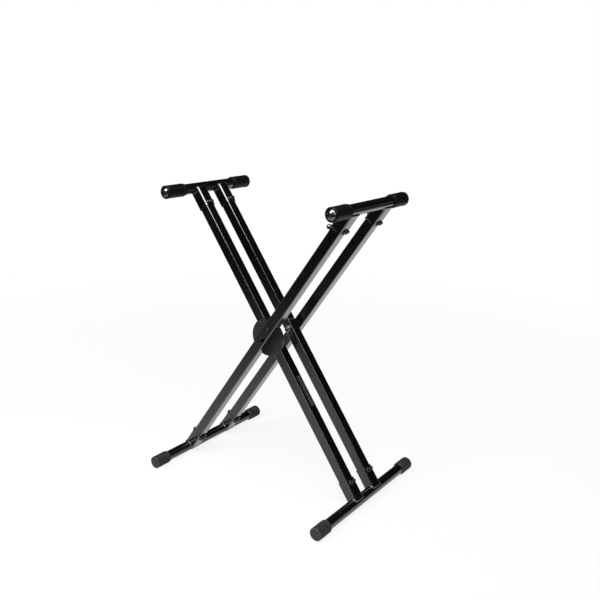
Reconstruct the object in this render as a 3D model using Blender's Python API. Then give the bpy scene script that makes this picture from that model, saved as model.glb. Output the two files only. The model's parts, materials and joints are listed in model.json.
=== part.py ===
# Double X keyboard stand: two nested X frames that fold about one pivot line.
# +X runs across the spread of the legs, +Y from the front to the rear and +Z up.
# The origin is on the floor, midway between the four feet.
import math

import bmesh
import bpy
from mathutils import Matrix, Vector

# Square leg tube
TUBE_SIDE = 0.030
TUBE_WALL = 0.0016
TUBE_CORNER = 0.0025
LEG_LEAN = math.radians(35.5)
FOOT_REACH = 0.517
ARM_REACH = 0.482
OUTER_HALF_SPACING = 0.0794

# Gap between pieces that touch, and between a shaft and its hole
CLEARANCE = 0.0003

# Round bars of the feet and the arms
BAR_RADIUS = 0.015
BAR_WALL = 0.0016
FOOT_LENGTH = 0.4775
ARM_LENGTH = 0.354

# Rubber foot caps
FOOT_CAP_RADIUS = 0.0185
FOOT_CAP_LENGTH = 0.0525
FOOT_CAP_END = 0.006
FOOT_CAP_FLAT = 0.0005
FOOT_CAP_EDGE = 0.003
FOOT_CAP_BULGE = 0.0012
FOOT_CAP_LIP = 0.0015

# Rubber arm caps
ARM_CAP_RADIUS = 0.019
ARM_CAP_TO_SOCKET = 0.0013
ARM_CAP_END = 0.012
ARM_CAP_FLAT = 0.0010
ARM_CAP_TAPER = 0.010
ARM_CAP_LIP = 0.0016
CAP_GROOVE = 0.0006

# Welded sockets
SOCKET_LENGTH = 0.066
SOCKET_WALL = 0.0022
SOCKET_SADDLE = 0.005
TUBE_END_GAP = 0.002

# Cross bolts with domed heads, and their flanged nuts
BOLT_RADIUS = 0.004
BOLT_FROM_BAR = 0.056
BOLT_HEAD_RADIUS = 0.0068
BOLT_HEAD_HEIGHT = 0.0065
NUT_ACROSS_FLATS = 0.013
NUT_HEIGHT = 0.0065
FLANGE_RADIUS = 0.0090
FLANGE_HEIGHT = 0.0016
BOLT_END = 0.0025
THREAD_CHAMFER = 0.0008

# Ball-headed stud on the outer front leg
STUD_FROM_BAR = 0.078
STUD_BALL_RADIUS = 0.0072
STUD_BALL_OUT = 0.0100
STUD_COLLAR_RADIUS = 0.0055
STUD_COLLAR_HEIGHT = 0.0030
STUD_RADIUS = 0.003
STUD_REACH_IN = 0.006

# Clutch discs at the front crossing and the spacer at the rear crossing
DISC_RADIUS = 0.055
DISC_THICKNESS = 0.0035
SPACER_RADIUS = 0.014
SPACER_THICKNESS = 0.001

# Pivot bolts
PIVOT_RADIUS = 0.005
PIVOT_ACROSS_FLATS = 0.017
PIVOT_HEAD_HEIGHT = 0.0065
PIVOT_NUT_HEIGHT = 0.008
PIVOT_END = 0.003

# Locking pin and the ring of holes that it enters
PIN_RADIUS = 0.004
PIN_FROM_PIVOT = 0.048
PIN_KNOB_RADIUS = 0.0048
PIN_KNOB_HEIGHT = 0.0038
PIN_KNOB_SIDE = 0.001
PIN_POINT = 0.0006
PIN_BITE = 0.0022
PIN_DRAWN_SHORT = 0.0004
BUSH_WALL = 0.0025
LOCK_STEP = math.radians(16.0)
LOCK_STEPS_OPEN = 2
LOCK_STEPS_CLOSED = 4

# Plain plate on the inner front leg
PLATE_LENGTH = 0.093
PLATE_WIDTH = 0.0125
PLATE_THICKNESS = 0.0008
PLATE_FROM_PIVOT = 0.1815
PLATE_OFFSET = 0.002

# Facets round a circle
ROUND_LARGE = 64
ROUND_MEDIUM = 28
ROUND_SMALL = 14

# How far a cutting tool runs past what it cuts
OVERRUN = 0.01

# Places that follow from the sizes above
FOOT_AXIS_HEIGHT = FOOT_CAP_RADIUS - FOOT_CAP_FLAT
PIVOT_HEIGHT = FOOT_AXIS_HEIGHT + FOOT_REACH * math.cos(LEG_LEAN)
HALF_TUBE = TUBE_SIDE / 2
FRONT_GAP = 2 * DISC_THICKNESS + 3 * CLEARANCE
REAR_GAP = SPACER_THICKNESS + 2 * CLEARANCE
OUTER_FRONT = -OUTER_HALF_SPACING
OUTER_REAR = OUTER_HALF_SPACING
INNER_FRONT = OUTER_FRONT + TUBE_SIDE + FRONT_GAP
INNER_REAR = OUTER_REAR - TUBE_SIDE - REAR_GAP
SOCKET_HALF = HALF_TUBE + CLEARANCE + SOCKET_WALL
PIN_TRAVEL = PIN_DRAWN_SHORT + CLEARANCE + PIN_BITE
ARM_CAP_LENGTH = ARM_LENGTH / 2 - OUTER_HALF_SPACING - SOCKET_HALF - ARM_CAP_TO_SOCKET


def clear_scene():
    for old in list(bpy.data.objects):
        bpy.data.objects.remove(old, do_unlink=True)


def make_material(name, colour, roughness, metallic):
    material = bpy.data.materials.new(name)
    material.use_nodes = True
    shader = material.node_tree.nodes["Principled BSDF"]
    shader.inputs["Base Color"].default_value = (*colour, 1.0)
    shader.inputs["Roughness"].default_value = roughness
    shader.inputs["Metallic"].default_value = metallic
    material.diffuse_color = (*colour, 1.0)
    return material


def make_empty(name, place):
    empty = bpy.data.objects.new(name, None)
    empty.location = place
    bpy.context.collection.objects.link(empty)
    return empty


def make_object(name, mesh_data):
    bmesh.ops.recalc_face_normals(mesh_data, faces=mesh_data.faces)
    mesh = bpy.data.meshes.new(name)
    mesh_data.to_mesh(mesh)
    mesh_data.free()
    made = bpy.data.objects.new(name, mesh)
    bpy.context.collection.objects.link(made)
    return made


# A block along Z with its four long edges rounded
def square_bar(name, side, corner, low, high, centre_x=0.0, depth=None):
    depth = side if depth is None else depth
    shape = bmesh.new()
    bmesh.ops.create_cube(shape, size=1.0)
    bmesh.ops.scale(shape, vec=(side, depth, high - low), verts=shape.verts)
    bmesh.ops.translate(shape, vec=(centre_x, 0, (low + high) / 2), verts=shape.verts)
    if corner > 0:
        long_edges = [edge for edge in shape.edges if abs(edge.verts[0].co.z - edge.verts[1].co.z) > 1e-6]
        bmesh.ops.bevel(shape, geom=long_edges, offset=corner, segments=3, profile=0.5, affect="EDGES")
    return make_object(name, shape)


# A round or hexagonal prism along the given axis
def prism(name, radius, axis, low, high, sides, centre=(0, 0, 0)):
    shape = bmesh.new()
    depth = high - low
    bmesh.ops.create_cone(shape, cap_ends=True, segments=sides, radius1=radius, radius2=radius, depth=depth)
    turn = Vector((0, 0, 1)).rotation_difference(Vector(axis)).to_matrix()
    bmesh.ops.rotate(shape, matrix=turn, verts=shape.verts)
    middle = Vector(axis) * ((low + high) / 2) + Vector(centre)
    bmesh.ops.translate(shape, vec=middle, verts=shape.verts)
    return make_object(name, shape)


# A turned shape: each outline point is a place along the axis and a radius from it
def turned(name, outline, axis, sides, closed=False):
    along = Vector(axis)
    out = Vector((0, 0, 1)) if abs(along.z) < 0.5 else Vector((1, 0, 0))
    shape = bmesh.new()
    points = [shape.verts.new(along * place + out * radius) for place, radius in outline]
    edges = [shape.edges.new(pair) for pair in zip(points, points[1:])]
    if closed:
        edges.append(shape.edges.new((points[-1], points[0])))
    bmesh.ops.spin(
        shape, geom=points + edges, cent=(0, 0, 0), axis=along,
        angle=2 * math.pi, steps=sides, use_merge=True,
    )
    bmesh.ops.remove_doubles(shape, verts=shape.verts, dist=1e-6)
    return make_object(name, shape)


def apply_boolean(target, tool, operation):
    modifier = target.modifiers.new(operation.lower(), "BOOLEAN")
    modifier.operation = operation
    modifier.solver = "EXACT"
    modifier.object = tool
    graph = bpy.context.evaluated_depsgraph_get()
    mesh = bpy.data.meshes.new_from_object(target.evaluated_get(graph))
    target.modifiers.clear()
    target.data = mesh
    bpy.data.objects.remove(tool, do_unlink=True)


def cut(target, *tools):
    for tool in tools:
        apply_boolean(target, tool, "DIFFERENCE")


# Slices a shape off square to Z at the given height and closes it with a flat face
def slice_flat(target, height, keep_below):
    shape = bmesh.new()
    shape.from_mesh(target.data)
    geometry = shape.verts[:] + shape.edges[:] + shape.faces[:]
    sliced = bmesh.ops.bisect_plane(
        shape, geom=geometry, dist=1e-7, plane_co=(0, 0, height), plane_no=(0, 0, 1),
        clear_outer=keep_below, clear_inner=not keep_below,
    )
    rim = [item for item in sliced["geom_cut"] if isinstance(item, bmesh.types.BMEdge)]
    bmesh.ops.contextual_create(shape, geom=rim)
    bmesh.ops.recalc_face_normals(shape, faces=shape.faces)
    shape.to_mesh(target.data)
    shape.free()


def place(made, parent, material, location=(0, 0, 0), lean=0.0):
    made.parent = parent
    made.location = location
    made.rotation_euler = (0, lean, 0)
    made.data.materials.clear()
    made.data.materials.append(material)
    made.data.shade_smooth()
    made.data.set_sharp_from_angle(angle=math.radians(32))
    return made


def leg_point(lean, reach, depth=0.0):
    return (reach * math.sin(lean), depth, reach * math.cos(lean))


# Hollow leg tube with its pivot hole and one bolt hole near each end; one leg has the pin and stud holes too
def make_leg(name, with_extras):
    low = -(FOOT_REACH - BAR_RADIUS - TUBE_END_GAP)
    high = ARM_REACH - BAR_RADIUS - TUBE_END_GAP
    leg = square_bar(name, TUBE_SIDE, TUBE_CORNER, low, high)
    inside = TUBE_SIDE - 2 * TUBE_WALL
    cut(leg, square_bar("bore", inside, TUBE_CORNER - TUBE_WALL, low - TUBE_SIDE, high + TUBE_SIDE))
    reach = TUBE_SIDE
    cut(leg, prism("pivot hole", PIVOT_RADIUS + CLEARANCE, (0, 1, 0), -reach, reach, ROUND_SMALL))
    for height in (BOLT_FROM_BAR - FOOT_REACH, ARM_REACH - BOLT_FROM_BAR):
        centre = (0, 0, height)
        cut(leg, prism("bolt hole", BOLT_RADIUS + CLEARANCE, (1, 0, 0), -reach, reach, ROUND_SMALL, centre))
    if with_extras:
        centre = (0, 0, PIN_FROM_PIVOT)
        cut(leg, prism("pin hole", PIN_RADIUS + CLEARANCE, (0, 1, 0), -reach, reach, ROUND_SMALL, centre))
        centre = (0, 0, ARM_REACH - STUD_FROM_BAR)
        cut(leg, prism("stud hole", STUD_RADIUS + CLEARANCE, (1, 0, 0), -reach, 0, ROUND_SMALL, centre))
    return leg


# Round tube along Y with open ends
def make_bar(name, length, cap_end):
    half = length / 2 - cap_end - CLEARANCE
    inside = BAR_RADIUS - BAR_WALL
    outline = [(-half, inside), (-half, BAR_RADIUS), (half, BAR_RADIUS), (half, inside)]
    return turned(name, outline, (0, 1, 0), ROUND_MEDIUM, closed=True)


# Square sleeve over a leg's end, saddle-cut to sit on the bar; its origin is on the bar's axis
def make_socket(name, toward_pivot):
    near = SOCKET_SADDLE * toward_pivot
    far = SOCKET_LENGTH * toward_pivot
    low = min(near, far)
    high = max(near, far)
    corner = TUBE_CORNER + CLEARANCE + SOCKET_WALL
    socket = square_bar(name, 2 * SOCKET_HALF, corner, low, high)
    inside = TUBE_SIDE + 2 * CLEARANCE
    cut(socket, square_bar("bore", inside, TUBE_CORNER + CLEARANCE, low - TUBE_SIDE, high + TUBE_SIDE))
    reach = TUBE_SIDE
    cut(socket, prism("bar", BAR_RADIUS + CLEARANCE, (0, 1, 0), -reach, reach, ROUND_MEDIUM))
    centre = (0, 0, BOLT_FROM_BAR * toward_pivot)
    cut(socket, prism("bolt hole", BOLT_RADIUS + CLEARANCE, (1, 0, 0), -reach, reach, ROUND_SMALL, centre))
    return socket


# Points of a domed end from the tip to the full radius
def dome(tip, radius, height, steps):
    points = []
    for step in range(steps + 1):
        angle = math.pi / 2 * step / steps
        points.append((tip + height * (1 - math.cos(angle)), radius * math.sin(angle)))
    return points


# Rubber cap over a foot bar's end; its tip is at the origin and it runs along +Y
def make_foot_cap(name):
    rim = BAR_RADIUS + CLEARANCE + FOOT_CAP_LIP
    bore = BAR_RADIUS + CLEARANCE
    edge = FOOT_CAP_EDGE
    outline = dome(0.0, FOOT_CAP_RADIUS - edge, FOOT_CAP_BULGE, 2)
    outline += [(edge, FOOT_CAP_RADIUS), (FOOT_CAP_LENGTH - edge, FOOT_CAP_RADIUS), (FOOT_CAP_LENGTH, rim)]
    outline += [(FOOT_CAP_LENGTH, bore), (FOOT_CAP_END, bore), (FOOT_CAP_END, 0.0)]
    return turned(name, outline, (0, 1, 0), ROUND_MEDIUM)


# Rubber cap over an arm's end, with a ball-shaped tip, a groove and a stepped rear end
def make_arm_cap(name):
    body = ARM_CAP_RADIUS - CAP_GROOVE / 2
    bore = BAR_RADIUS + CLEARANCE
    groove_end = ARM_CAP_RADIUS + 2 * CAP_GROOVE
    taper = ARM_CAP_LENGTH - ARM_CAP_TAPER
    lip = bore + ARM_CAP_LIP
    outline = dome(0.0, ARM_CAP_RADIUS, ARM_CAP_RADIUS, 6)
    outline += [(ARM_CAP_RADIUS + CAP_GROOVE, ARM_CAP_RADIUS - CAP_GROOVE), (groove_end, body)]
    outline += [(taper, body), (ARM_CAP_LENGTH, lip)]
    outline += [(ARM_CAP_LENGTH, bore), (ARM_CAP_END, bore), (ARM_CAP_END, 0.0)]
    return turned(name, outline, (0, 1, 0), ROUND_MEDIUM)


def hexagon_radius(across_flats):
    return across_flats / 2 / math.cos(math.pi / 6)


# Domed cross bolt along X: head on the -X side, threaded end past the nut
def make_cross_bolt(name):
    seat = -(SOCKET_HALF + CLEARANCE)
    end = SOCKET_HALF + CLEARANCE + FLANGE_HEIGHT + NUT_HEIGHT + BOLT_END
    flange = seat - FLANGE_HEIGHT
    outline = dome(flange - BOLT_HEAD_HEIGHT, BOLT_HEAD_RADIUS, BOLT_HEAD_HEIGHT, 4)
    outline += [(flange, FLANGE_RADIUS), (seat, FLANGE_RADIUS), (seat, BOLT_RADIUS)]
    outline += [(end - THREAD_CHAMFER, BOLT_RADIUS), (end, BOLT_RADIUS - THREAD_CHAMFER), (end, 0.0)]
    return turned(name, outline, (1, 0, 0), ROUND_SMALL)


def make_flange_nut(name):
    seat = SOCKET_HALF + CLEARANCE
    top = seat + FLANGE_HEIGHT
    nut = prism(name, FLANGE_RADIUS, (1, 0, 0), seat, top, ROUND_SMALL)
    corner_radius = hexagon_radius(NUT_ACROSS_FLATS)
    end = top + NUT_HEIGHT
    hexagon = prism("hexagon", corner_radius, (1, 0, 0), top - FLANGE_HEIGHT / 2, end, 6)
    apply_boolean(nut, hexagon, "UNION")
    cut(nut, prism("hole", BOLT_RADIUS + CLEARANCE, (1, 0, 0), seat - OVERRUN, end + OVERRUN, ROUND_SMALL))
    return nut


# Stud along X with its ball on the -X side and its shank through the leg's wall
def make_ball_stud(name):
    seat = -(HALF_TUBE + CLEARANCE)
    collar = seat - STUD_COLLAR_HEIGHT
    end = -HALF_TUBE + STUD_REACH_IN
    outline = dome(seat - STUD_BALL_OUT - STUD_BALL_RADIUS, STUD_BALL_RADIUS, STUD_BALL_RADIUS, 4)
    outline += [(collar, STUD_COLLAR_RADIUS), (seat, STUD_COLLAR_RADIUS), (seat, STUD_RADIUS)]
    outline += [(end - THREAD_CHAMFER, STUD_RADIUS), (end, STUD_RADIUS - THREAD_CHAMFER), (end, 0.0)]
    return turned(name, outline, (1, 0, 0), ROUND_SMALL)


# Disc along Y from low to high, with a pivot hole and the given lock holes
def make_disc(name, low, high, radius, sides, hole_angles=()):
    disc = prism(name, radius, (0, 1, 0), low, high, sides)
    start = low - OVERRUN
    end = high + OVERRUN
    cut(disc, prism("pivot hole", PIVOT_RADIUS + CLEARANCE, (0, 1, 0), start, end, ROUND_SMALL))
    for angle in hole_angles:
        centre = leg_point(angle, PIN_FROM_PIVOT)
        cut(disc, prism("lock hole", PIN_RADIUS + CLEARANCE, (0, 1, 0), start, end, ROUND_SMALL, centre))
    return disc


def make_lock_disc(name, low, hole_angles):
    return make_disc(name, low, low + DISC_THICKNESS, DISC_RADIUS, ROUND_LARGE, hole_angles)


# Hexagon-headed bolt along Y: the head's seat is at seat_y and the thread runs to end_y
def make_pivot_bolt(name, seat_y, end_y):
    facing = 1 if end_y > seat_y else -1
    corner_radius = hexagon_radius(PIVOT_ACROSS_FLATS)
    head_out = seat_y - facing * PIVOT_HEAD_HEIGHT
    bolt = prism(name, corner_radius, (0, 1, 0), min(seat_y, head_out), max(seat_y, head_out), 6)
    root = seat_y - facing * PIVOT_HEAD_HEIGHT / 2
    shank = prism("shank", PIVOT_RADIUS, (0, 1, 0), min(root, end_y), max(root, end_y), ROUND_SMALL)
    apply_boolean(bolt, shank, "UNION")
    return bolt


def make_pivot_nut(name, low, high):
    corner_radius = hexagon_radius(PIVOT_ACROSS_FLATS)
    nut = prism(name, corner_radius, (0, 1, 0), low, high, 6)
    cut(nut, prism("hole", PIVOT_RADIUS + CLEARANCE, (0, 1, 0), low - OVERRUN, high + OVERRUN, ROUND_SMALL))
    return nut


# Everything that one X frame's pair of legs carries
def build_frame(prefix, parent, lean, rows, paint, rubber, steel):
    for row, depth in rows.items():
        leg = make_leg(prefix + "_leg_" + row, with_extras=(prefix == "outer" and row == "front"))
        place(leg, parent, paint, (0, depth, 0), lean)
    ends = {
        "foot": (-FOOT_REACH, 1, FOOT_LENGTH, FOOT_CAP_END, make_foot_cap),
        "arm": (ARM_REACH, -1, ARM_LENGTH, ARM_CAP_END, make_arm_cap),
    }
    for end, (reach, toward_pivot, length, cap_end, make_cap) in ends.items():
        bar = make_bar(prefix + "_" + end + "_bar", length, cap_end)
        place(bar, parent, paint, leg_point(lean, reach))
        for row, depth in rows.items():
            label = prefix + "_" + end + "_socket_" + row
            place(make_socket(label, toward_pivot), parent, paint, leg_point(lean, reach, depth), lean)
            bolt_place = leg_point(lean, reach + BOLT_FROM_BAR * toward_pivot, depth)
            bolt_label = prefix + "_" + end + "_bolt_" + row
            place(make_cross_bolt(bolt_label), parent, steel, bolt_place, lean)
            nut_label = prefix + "_" + end + "_nut_" + row
            place(make_flange_nut(nut_label), parent, steel, bolt_place, lean)
        for row, side in (("front", -1), ("rear", 1)):
            cap = make_cap(prefix + "_" + end + "_cap_" + row)
            if side > 0:
                cap.data.transform(Matrix.Rotation(math.pi, 4, "Z"))
            if end == "foot":
                slice_flat(cap, -(FOOT_CAP_RADIUS - FOOT_CAP_FLAT), keep_below=False)
            else:
                slice_flat(cap, ARM_CAP_RADIUS - ARM_CAP_FLAT, keep_below=True)
            place(cap, parent, rubber, leg_point(lean, reach, side * length / 2))


def build_stand():
    clear_scene()
    paint = make_material("frame_paint", (0.012, 0.012, 0.013), 0.32, 0.0)
    rubber = make_material("cap_rubber", (0.020, 0.020, 0.021), 0.62, 0.0)
    steel = make_material("black_hardware", (0.030, 0.030, 0.032), 0.30, 1.0)
    bright = make_material("bright_hardware", (0.62, 0.62, 0.64), 0.25, 1.0)
    disc_paint = make_material("disc_paint", (0.028, 0.028, 0.030), 0.50, 0.0)
    plate_metal = make_material("plate_metal", (0.42, 0.42, 0.43), 0.40, 1.0)

    outer = make_empty("outer_frame", (0, 0, PIVOT_HEIGHT))
    inner = make_empty("inner_frame", (0, 0, PIVOT_HEIGHT))
    outer_rows = {"front": OUTER_FRONT, "rear": OUTER_REAR}
    inner_rows = {"front": INNER_FRONT, "rear": INNER_REAR}
    build_frame("outer", outer, LEG_LEAN, outer_rows, paint, rubber, steel)
    build_frame("inner", inner, -LEG_LEAN, inner_rows, paint, rubber, steel)

    outer_disc_low = OUTER_FRONT + HALF_TUBE + CLEARANCE
    outer_disc_high = outer_disc_low + DISC_THICKNESS
    inner_disc_low = outer_disc_high + CLEARANCE
    place(make_lock_disc("outer_clutch_disc", outer_disc_low, [0.0]), outer, disc_paint, lean=LEG_LEAN)
    steps = range(-LOCK_STEPS_OPEN, LOCK_STEPS_CLOSED + 1)
    hole_angles = [2 * LEG_LEAN - LOCK_STEP * step for step in steps]
    inner_disc = make_lock_disc("inner_clutch_disc", inner_disc_low, hole_angles)
    place(inner_disc, inner, disc_paint, lean=-LEG_LEAN)

    front_seat = OUTER_FRONT - HALF_TUBE - CLEARANCE
    front_nut_low = INNER_FRONT + HALF_TUBE + CLEARANCE
    front_nut_high = front_nut_low + PIVOT_NUT_HEIGHT
    front_bolt = make_pivot_bolt("front_pivot_bolt", front_seat, front_nut_high + PIVOT_END)
    place(front_bolt, outer, steel, lean=LEG_LEAN)
    place(make_pivot_nut("front_pivot_nut", front_nut_low, front_nut_high), outer, bright, lean=LEG_LEAN)

    rear_seat = OUTER_REAR + HALF_TUBE + CLEARANCE
    rear_nut_high = INNER_REAR - HALF_TUBE - CLEARANCE
    rear_nut_low = rear_nut_high - PIVOT_NUT_HEIGHT
    rear_bolt = make_pivot_bolt("rear_pivot_bolt", rear_seat, rear_nut_low - PIVOT_END)
    place(rear_bolt, outer, steel, lean=LEG_LEAN)
    place(make_pivot_nut("rear_pivot_nut", rear_nut_low, rear_nut_high), outer, bright, lean=LEG_LEAN)
    spacer_low = INNER_REAR + HALF_TUBE + CLEARANCE
    spacer_high = spacer_low + SPACER_THICKNESS
    spacer = make_disc("rear_pivot_spacer", spacer_low, spacer_high, SPACER_RADIUS, ROUND_MEDIUM)
    place(spacer, outer, steel, lean=LEG_LEAN)

    pin_place = Vector(leg_point(LEG_LEAN, PIN_FROM_PIVOT)) + Vector((0, 0, PIVOT_HEIGHT))
    lock = make_empty("lock_pin_axis", pin_place)
    tip = outer_disc_high - PIN_DRAWN_SHORT
    knob_seat = OUTER_FRONT - HALF_TUBE - CLEARANCE - PIN_TRAVEL
    outline = dome(knob_seat - PIN_KNOB_HEIGHT, PIN_KNOB_RADIUS, PIN_KNOB_HEIGHT - PIN_KNOB_SIDE, 4)
    outline += [(knob_seat, PIN_KNOB_RADIUS), (knob_seat, PIN_RADIUS), (tip - PIN_POINT, PIN_RADIUS)]
    outline += [(tip, PIN_RADIUS - PIN_POINT), (tip, 0.0)]
    place(turned("lock_pin", outline, (0, 1, 0), ROUND_SMALL), lock, steel)

    bush_low = OUTER_FRONT - HALF_TUBE + TUBE_WALL + CLEARANCE
    bush_high = OUTER_FRONT + HALF_TUBE - TUBE_WALL - CLEARANCE
    bush_bore = PIN_RADIUS + CLEARANCE
    bush_out = bush_bore + BUSH_WALL
    ring = [(bush_low, bush_bore), (bush_low, bush_out), (bush_high, bush_out), (bush_high, bush_bore)]
    bush = turned("lock_pin_bush", ring, (0, 1, 0), ROUND_SMALL, closed=True)
    place(bush, outer, steel, leg_point(LEG_LEAN, PIN_FROM_PIVOT))

    stud_place = leg_point(LEG_LEAN, ARM_REACH - STUD_FROM_BAR, OUTER_FRONT)
    place(make_ball_stud("outer_leg_ball_stud"), outer, steel, stud_place, LEG_LEAN)

    plate_low = -PLATE_FROM_PIVOT - PLATE_LENGTH / 2
    plate_high = -PLATE_FROM_PIVOT + PLATE_LENGTH / 2
    plate_centre = HALF_TUBE + CLEARANCE + PLATE_THICKNESS / 2
    plate = square_bar(
        "inner_leg_plate", PLATE_THICKNESS, 0, plate_low, plate_high, centre_x=plate_centre, depth=PLATE_WIDTH
    )
    place(plate, inner, plate_metal, (0, INNER_FRONT + PLATE_OFFSET, 0), -LEG_LEAN)


build_stand()
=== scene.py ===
import json
import math

import bmesh
import bpy
from mathutils import Matrix, Vector


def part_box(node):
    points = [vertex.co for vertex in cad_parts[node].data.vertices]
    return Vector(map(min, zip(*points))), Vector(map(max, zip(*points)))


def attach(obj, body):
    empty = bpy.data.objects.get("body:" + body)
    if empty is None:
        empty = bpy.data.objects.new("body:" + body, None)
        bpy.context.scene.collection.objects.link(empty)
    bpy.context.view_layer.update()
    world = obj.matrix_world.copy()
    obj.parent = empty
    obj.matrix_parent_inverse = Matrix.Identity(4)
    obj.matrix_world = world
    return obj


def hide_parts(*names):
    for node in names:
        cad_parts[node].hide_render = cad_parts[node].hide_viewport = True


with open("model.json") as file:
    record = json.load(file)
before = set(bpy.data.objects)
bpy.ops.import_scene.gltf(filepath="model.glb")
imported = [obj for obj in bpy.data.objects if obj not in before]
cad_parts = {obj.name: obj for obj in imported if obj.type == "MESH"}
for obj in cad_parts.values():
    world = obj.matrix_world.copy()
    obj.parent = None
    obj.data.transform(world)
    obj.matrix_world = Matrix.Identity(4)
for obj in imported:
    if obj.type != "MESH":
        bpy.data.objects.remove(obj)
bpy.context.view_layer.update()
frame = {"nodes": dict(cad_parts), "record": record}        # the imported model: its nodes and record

print("frame loaded with", len(frame["nodes"]), "nodes")

# where the legs stand, how far they reach and the holes that pieces share, in metres and degrees
layout = {
    "lean": 35.5,
    "pivotHeight": 0.438898,
    "footReach": 0.517,
    "armReach": 0.482,
    "boltFromBar": 0.056,
    "pinFromPivot": 0.048,
    "pivotHole": 0.0053,
    "boltHole": 0.0043,
    "pinHole": 0.0043,
}
leanOf = {"outer": math.radians(layout["lean"]), "inner": -math.radians(layout["lean"])}


def depthOf(node):
    low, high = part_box(node)
    return (low.y + high.y) / 2


rowDepth = {}
for side in ("outer", "inner"):
    for row in ("front", "rear"):
        rowDepth[side, row] = depthOf(side + "_leg_" + row)


# a place on a leg: the frame turns with the leg and sits the given reach from the pivot
def onLeg(side, row, reach):
    stand = Matrix.Translation((0, rowDepth[side, row], layout["pivotHeight"]))
    return stand @ Matrix.Rotation(leanOf[side], 4, "Y") @ Matrix.Translation((0, 0, reach))


# a place on a round bar's axis, not turned
def onBar(side, reach, along):
    lean = leanOf[side]
    spot = (reach * math.sin(lean), along, layout["pivotHeight"] + reach * math.cos(lean))
    return Matrix.Translation(spot)


# small modelling helpers

modelling = {"merge": 0.00001, "close": 0.0001, "edgeLeast": 0.0005, "facing": 0.9,
             "rounded": 0.995, "drillSides": 40, "smoothAngle": 32}
quarter = math.pi / 2


def takeOnly(piece):
    bpy.ops.object.select_all(action="DESELECT")
    piece.select_set(True)
    bpy.context.view_layer.objects.active = piece


def openFaces(piece, wanted):
    takeOnly(piece)
    bpy.ops.object.mode_set(mode="EDIT")
    bpy.ops.mesh.select_mode(type="FACE")
    bpy.ops.mesh.select_all(action="DESELECT")
    shape = bmesh.from_edit_mesh(piece.data)
    for face in shape.faces:
        face.select_set(bool(wanted(face)))
    bmesh.update_edit_mesh(piece.data)


def openEdges(piece, wanted):
    takeOnly(piece)
    bpy.ops.object.mode_set(mode="EDIT")
    bpy.ops.mesh.select_mode(type="EDGE")
    bpy.ops.mesh.select_all(action="DESELECT")
    shape = bmesh.from_edit_mesh(piece.data)
    for edge in shape.edges:
        edge.select_set(bool(wanted(edge)))
    bmesh.update_edit_mesh(piece.data)


def openVerts(piece, wanted):
    takeOnly(piece)
    bpy.ops.object.mode_set(mode="EDIT")
    bpy.ops.mesh.select_mode(type="VERT")
    bpy.ops.mesh.select_all(action="DESELECT")
    shape = bmesh.from_edit_mesh(piece.data)
    for vert in shape.verts:
        vert.select_set(bool(wanted(vert.co)))
    shape.select_flush_mode()
    bmesh.update_edit_mesh(piece.data)


def closeEdit():
    bpy.ops.object.mode_set(mode="OBJECT")


def runsAlong(edge, axis):
    way = "XYZ".index(axis)
    return abs(edge.verts[0].co[way] - edge.verts[1].co[way]) > modelling["edgeLeast"]


def isFacing(face, axis, least=modelling["facing"]):
    return abs(face.normal["XYZ".index(axis)]) > least


def isRounded(face):
    return max(abs(part) for part in face.normal) < modelling["rounded"]


def facesOut(piece):
    takeOnly(piece)
    bpy.ops.object.mode_set(mode="EDIT")
    bpy.ops.mesh.select_all(action="SELECT")
    bpy.ops.mesh.remove_doubles(threshold=modelling["merge"])
    bpy.ops.mesh.normals_make_consistent(inside=False)
    closeEdit()


def fixPlace(piece):
    takeOnly(piece)
    bpy.ops.object.transform_apply(location=True, rotation=True, scale=True)


# gives the wanted faces the material in one of the piece's slots
def paintFaces(piece, index, wanted):
    openFaces(piece, wanted)
    piece.active_material_index = index
    bpy.ops.object.material_slot_assign()
    closeEdit()


def addBlock(name, width, depth, low, high, x=0.0):
    bpy.ops.object.select_all(action="DESELECT")
    bpy.ops.mesh.primitive_cube_add(size=1, location=(x, 0, (low + high) / 2))
    piece = bpy.context.object
    piece.name = name
    piece.scale = (width, depth, high - low)
    fixPlace(piece)
    return piece


# a shape drawn out ring by ring along an axis: each ring is a place and a radius
def drawOut(name, axis, sides, rings):
    way = {"X": Vector((1, 0, 0)), "Y": Vector((0, 1, 0)), "Z": Vector((0, 0, 1))}[axis]
    turn = {"X": (0, quarter, 0), "Y": (-quarter, 0, 0), "Z": (0, 0, 0)}[axis]
    place, radius = rings[0]
    bpy.ops.object.select_all(action="DESELECT")
    bpy.ops.mesh.primitive_circle_add(
        vertices=sides, radius=radius, fill_type="NGON", location=way * place, rotation=turn)
    piece = bpy.context.object
    piece.name = name
    fixPlace(piece)
    bpy.ops.object.mode_set(mode="EDIT")
    bpy.ops.mesh.select_mode(type="FACE")
    bpy.ops.mesh.select_all(action="SELECT")
    for nextPlace, nextRadius in rings[1:]:
        bpy.ops.mesh.extrude_region_move(
            TRANSFORM_OT_translate={"value": way * (nextPlace - place)})
        grow = nextRadius / radius
        if abs(grow - 1) > modelling["merge"]:
            bpy.ops.transform.resize(value=(grow, grow, grow), center_override=way * nextPlace)
        place, radius = nextPlace, nextRadius
    closeEdit()
    facesOut(piece)
    return piece


# the rings of a dome, from beside its pole to its edge
def domeRings(pole, height, radius, steps, spread=quarter):
    rings = []
    for step in range(1, steps + 1):
        angle = spread * step / steps
        rings.append((pole + height * (1 - math.cos(angle)), radius * math.sin(angle)))
    return rings


def applyTool(piece, tool, operation):
    takeOnly(piece)
    modifier = piece.modifiers.new(operation.lower(), "BOOLEAN")
    modifier.operation = operation
    modifier.object = tool
    bpy.ops.object.modifier_apply(modifier=modifier.name)
    bpy.data.objects.remove(tool, do_unlink=True)


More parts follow.
